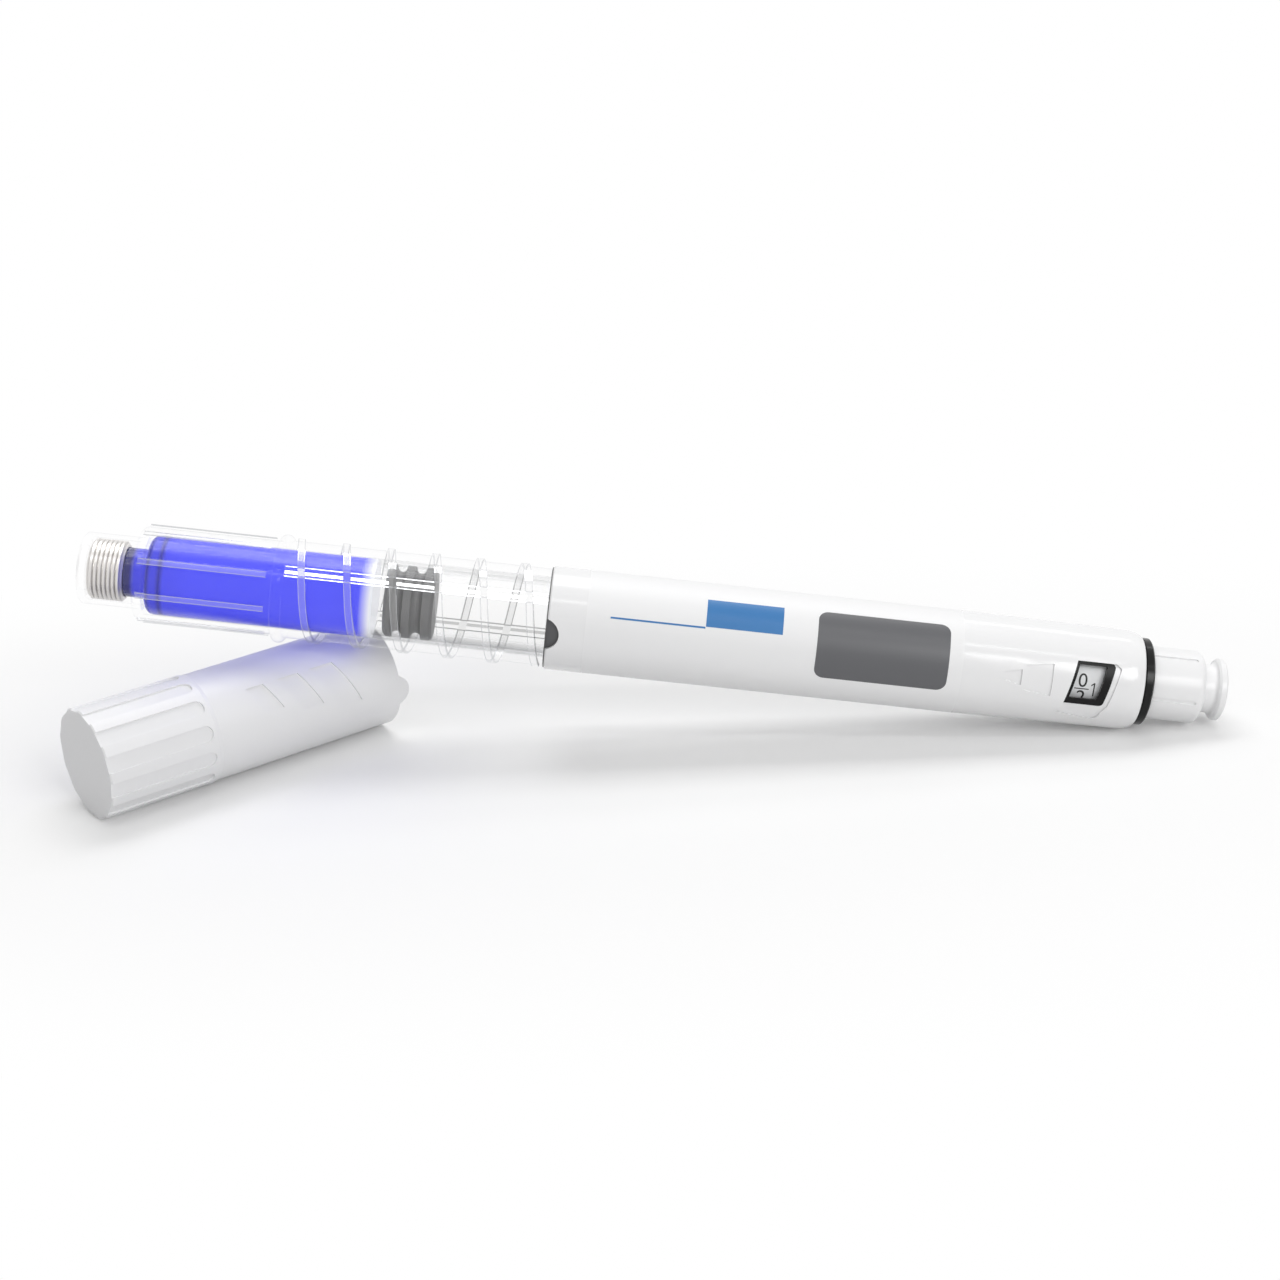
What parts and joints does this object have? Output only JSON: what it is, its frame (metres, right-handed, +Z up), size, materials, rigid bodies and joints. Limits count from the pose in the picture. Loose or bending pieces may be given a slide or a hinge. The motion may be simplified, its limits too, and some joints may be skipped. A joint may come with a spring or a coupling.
{
  "type": "dial-dose injection pen",
  "caption": "Injection pen with a clear cartridge holder, dose window, dial knob and push button, resting nose-up on its own fluted cap.",
  "frame": {"origin": "on the floor, under the middle of the box round the resting pen and cap", "axes": "+X runs in plan from the pen's nose to its button, +Y away from the viewer's side, +Z up"},
  "size_m": [0.1669, 0.0419, 0.0347],
  "materials": {
    "cap_plastic": "satin white, slightly translucent",
    "clear_plastic": "clear, polished",
    "glass": "clear, polished",
    "crimp_metal": "rolled, satin",
    "septum_rubber": "matte",
    "liquid": "blue, clear",
    "plunger_rubber": "matte dark grey",
    "white_plastic": "gloss white",
    "dark_plastic": "dark grey",
    "black_plastic": "gloss black",
    "lens": "clear, polished",
    "inner_plastic": "moulded",
    "nut_plastic": "moulded",
    "drum_plastic": "moulded pale grey",
    "spring_steel": "wire",
    "dial_ink": "printed",
    "label_blue": "printed",
    "label_grey": "printed"
  },
  "bodies": {
    "pen": {"cartridge_holder": "clear_plastic", "cartridge_glass": "glass", "crimp_cap": "crimp_metal", "septum": "septum_rubber", "liquid": "liquid", "housing": "white_plastic", "seat_ring": "dark_plastic", "window_frame": "black_plastic", "window_lens": "lens", "cartridge_ring": "inner_plastic", "cartridge_spring": "spring_steel", "rod_guide": "inner_plastic", "nut_retainer": "inner_plastic", "ratchet_ring": "inner_plastic", "drive_spring": "spring_steel", "rear_bush": "inner_plastic", "rear_ring": "black_plastic"},
    "cap": {"cap": "cap_plastic"},
    "plunger": {"plunger": "plunger_rubber"},
    "rod": {"lead_screw": "inner_plastic", "rod_foot": "dark_plastic"},
    "nut": {"drive_nut": "nut_plastic"},
    "dial": {"dial_sleeve": "inner_plastic", "click_wheel": "nut_plastic", "dose_drum": "drum_plastic", "dose_knob": "white_plastic", "button_spring": "spring_steel"},
    "button": {"injection_button": "white_plastic", "button_clip": "inner_plastic"}
  },
  "joints": [
    {"name": "cap_pull", "type": "slide", "parent": "pen", "child": "cap", "axis": [-0.7727, -0.6347, 0], "range_m": [0, 0.06]},
    {"name": "plunger_push", "type": "slide", "parent": "pen", "child": "plunger", "axis": [-0.9896, 0, 0.1438], "range_m": [0, 0.0325], "deforming": ["liquid"]},
    {"name": "rod_advance", "type": "slide", "parent": "pen", "child": "rod", "axis": [-0.9896, 0, 0.1438], "range_m": [0, 0.01825]},
    {"name": "nut_turn", "type": "hinge", "parent": "pen", "child": "nut", "pos_m": [-0.00231, 0.00763, 0.01742], "axis": [-0.9896, 0, 0.1438], "range_deg": [0, 1096]},
    {"name": "dose_turn", "type": "hinge", "parent": "pen", "child": "dial", "pos_m": [0.06202, 0.00763, 0.00807], "axis": [-0.9896, 0, 0.1438], "range_deg": [0, 324], "deforming": ["drive_spring"]},
    {"name": "button_press", "type": "slide", "parent": "dial", "child": "button", "axis": [-0.9896, 0, 0.1438], "range_m": [0, 0.0018], "stiffness_N_per_m": 300, "springref_m": -0.002, "deforming": ["button_spring"]}
  ],
  "couplings": [
    {"joint": "nut_turn", "follows": "rod_advance", "rad_per_m": 1047.2}
  ]
}
